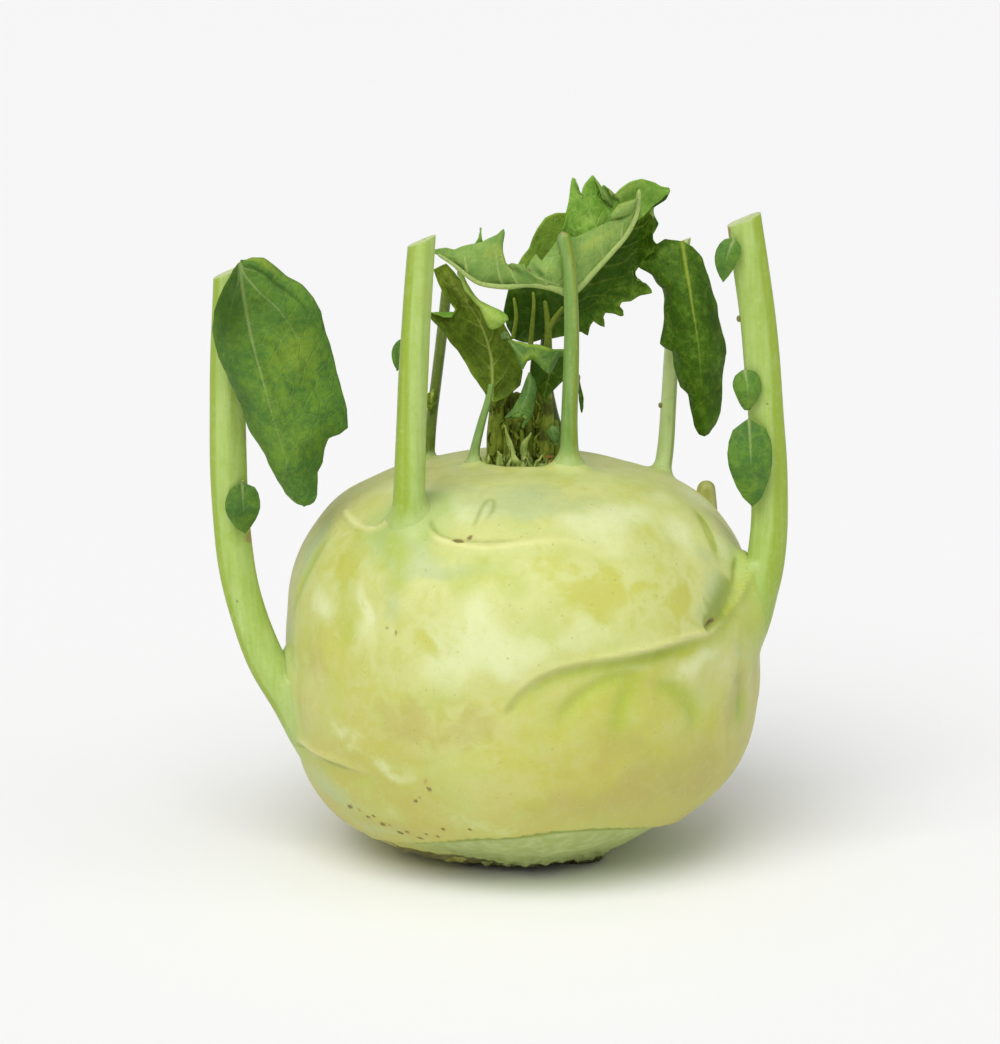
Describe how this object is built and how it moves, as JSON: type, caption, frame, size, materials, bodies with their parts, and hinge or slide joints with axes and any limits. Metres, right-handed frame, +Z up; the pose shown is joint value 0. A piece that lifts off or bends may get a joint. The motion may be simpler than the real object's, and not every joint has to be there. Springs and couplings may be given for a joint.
{
  "type": "kohlrabi",
  "caption": "Pale green kohlrabi bulb with cut leaf stalks, small leaves and a tuft of young leaves on its crown.",
  "frame": {"origin": "centre of the flat root cut on which the bulb rests", "axes": "+Z up through the crown, the thick front stalk stands on the -Y side, +X to the right as seen from the front"},
  "size_m": [0.1198, 0.1, 0.1441],
  "materials": {
    "bulb_skin": "waxy pale yellow-green skin, satin",
    "stalk": "smooth fibrous leaf stalk, satin",
    "leaf_green": "dark green veined leaf, satin",
    "leaf_pale": "pale bluish-green leaf underside, matte",
    "bud_scale": "pale yellow-green bud scale, matte"
  },
  "bodies": {
    "root": {"bulb": "bulb_skin", "stalk_left": "stalk", "stalk_front": "stalk", "stalk_middle": "stalk", "stalk_right": "stalk", "stalk_inner_left": "stalk", "stalk_back_left": "stalk", "stalk_back_right": "stalk", "stub_back_right": "stalk", "stalk_of_back_leaf": "stalk", "young_stem_left": "stalk", "young_stem_centre": "stalk", "young_stem_right": "stalk", "bud_scale_1": "bud_scale", "bud_scale_2": "bud_scale", "bud_scale_3": "bud_scale", "bud_scale_4": "bud_scale", "bud_scale_5": "bud_scale", "bud_scale_6": "bud_scale", "bud_scale_7": "bud_scale", "leaf_left": "leaf_green", "leaf_back_right": "leaf_green", "leaf_back": "leaf_green", "leaf_inner_left": "leaf_green", "leaf_centre": "leaf_green", "leaf_middle": "leaf_pale", "leaf_curled": "leaf_pale", "leaf_drooping": "leaf_pale", "leaf_crown_side": "leaf_pale", "leaflet_left_low": "leaf_green", "leaflet_front_side": "leaf_green", "leaflet_back_left": "leaf_green", "leaflet_right_top": "leaf_green", "leaflet_right_middle": "leaf_green", "leaflet_right_low": "leaf_green", "leaflet_middle": "leaf_green"}
  },
  "joints": []
}
